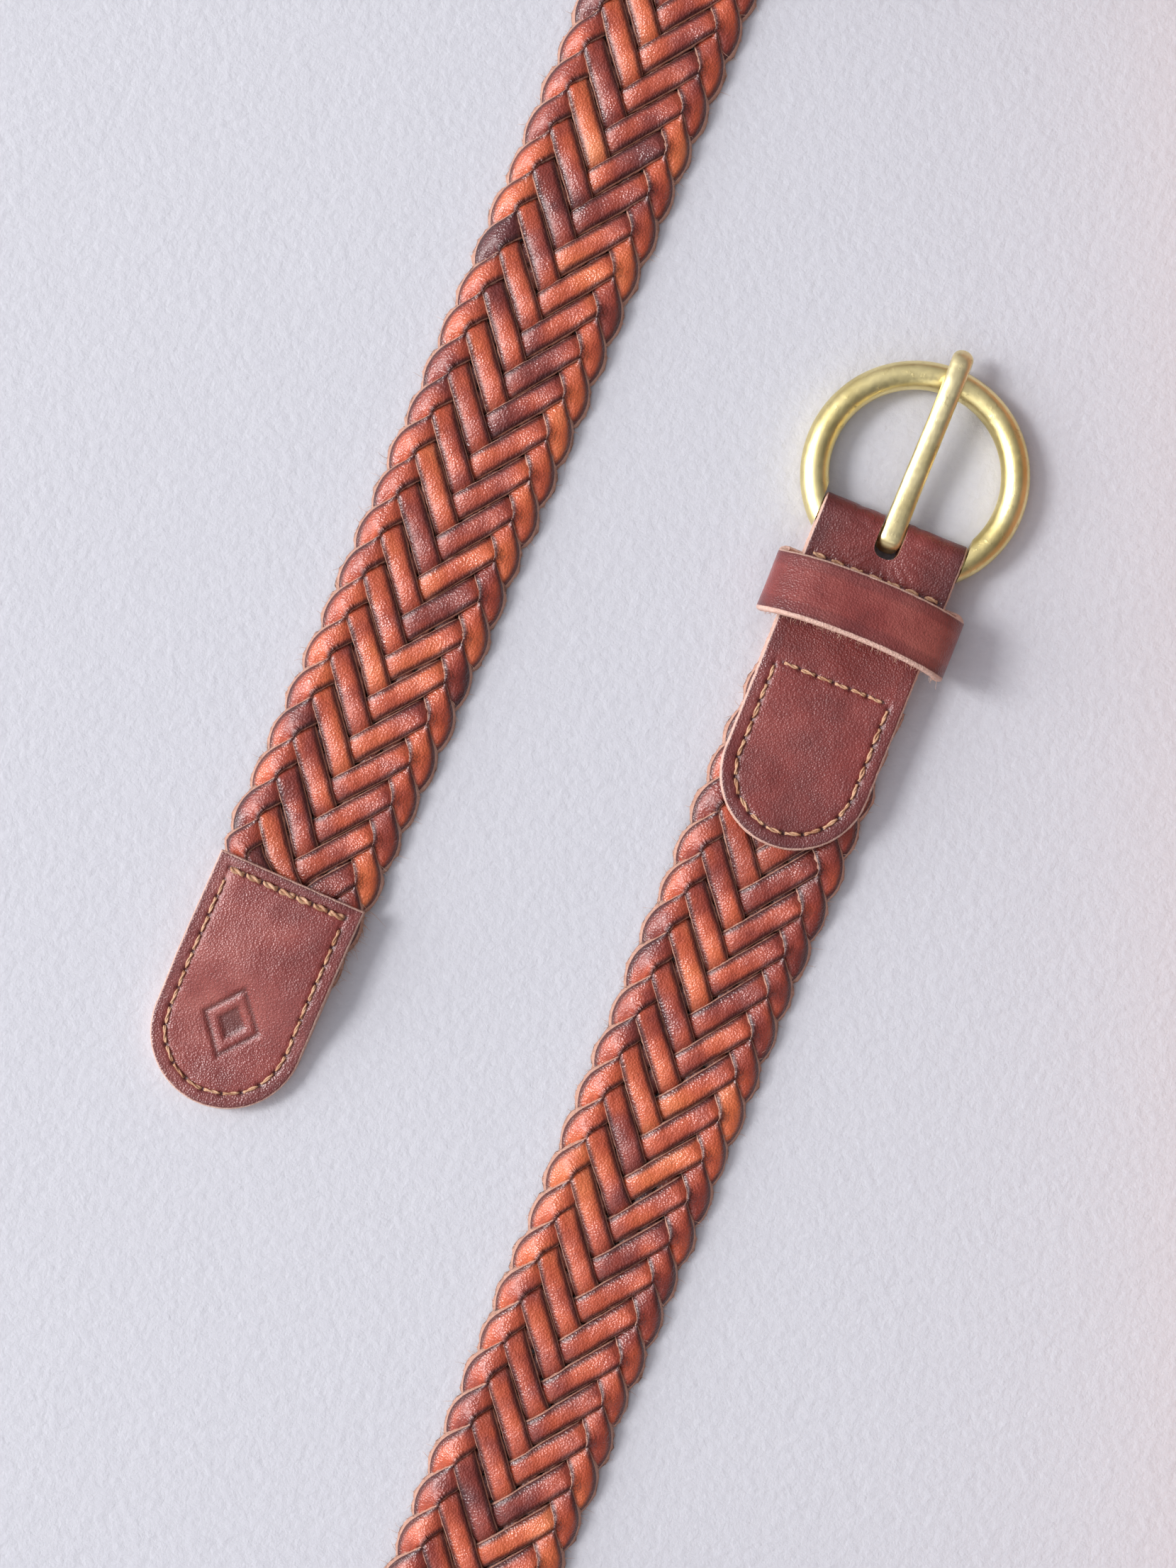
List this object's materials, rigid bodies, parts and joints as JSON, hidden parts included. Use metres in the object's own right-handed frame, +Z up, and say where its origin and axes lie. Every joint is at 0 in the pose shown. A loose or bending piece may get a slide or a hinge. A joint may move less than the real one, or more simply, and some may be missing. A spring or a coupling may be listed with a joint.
{
  "type": "braided leather belt",
  "caption": "Dress belt: a flat herringbone leather braid with a round ring buckle and prong, a stitched chape, a sliding keeper and a stitched round tip, lying in an open loop.",
  "frame": {"origin": "middle of the belt's box, on the surface that the belt lies on", "axes": "+Y along the flat strip, from the bar to the ring; +Z up, out of the grain side of the two flat strips"},
  "size_m": [0.2428, 0.4318, 0.0313],
  "materials": {
    "ring_brass": "antique satin",
    "prong_brass": "antique satin",
    "trim_leather": "smooth, satin",
    "braid_leather": "fine grain, semi-gloss",
    "staple_steel": "plain wire",
    "thread": "waxed twisted thread"
  },
  "bodies": {
    "strap": {"chape": "trim_leather", "braid": "braid_leather", "tip_front": "trim_leather", "tip_back": "trim_leather", "bar_row_stitching": "thread", "chape_stitching": "thread", "tip_stitching": "thread"},
    "buckle": {"buckle_frame": "ring_brass"},
    "prong": {"prong": "prong_brass"},
    "keeper": {"keeper": "trim_leather", "keeper_staple": "staple_steel"}
  },
  "joints": [
    {"name": "buckle_swing", "type": "hinge", "parent": "strap", "child": "buckle", "pos_m": [-0.0233, 0.0568, 0.00355], "axis": [1, 0, 0], "range_deg": [-60, 30]},
    {"name": "prong_swing", "type": "hinge", "parent": "buckle", "child": "prong", "pos_m": [-0.0233, 0.0568, 0.00355], "axis": [1, 0, 0], "range_deg": [0, 75]},
    {"name": "keeper_slide", "type": "slide", "parent": "strap", "child": "keeper", "axis": [0, -1, 0], "range_m": [0, 0.008]}
  ]
}
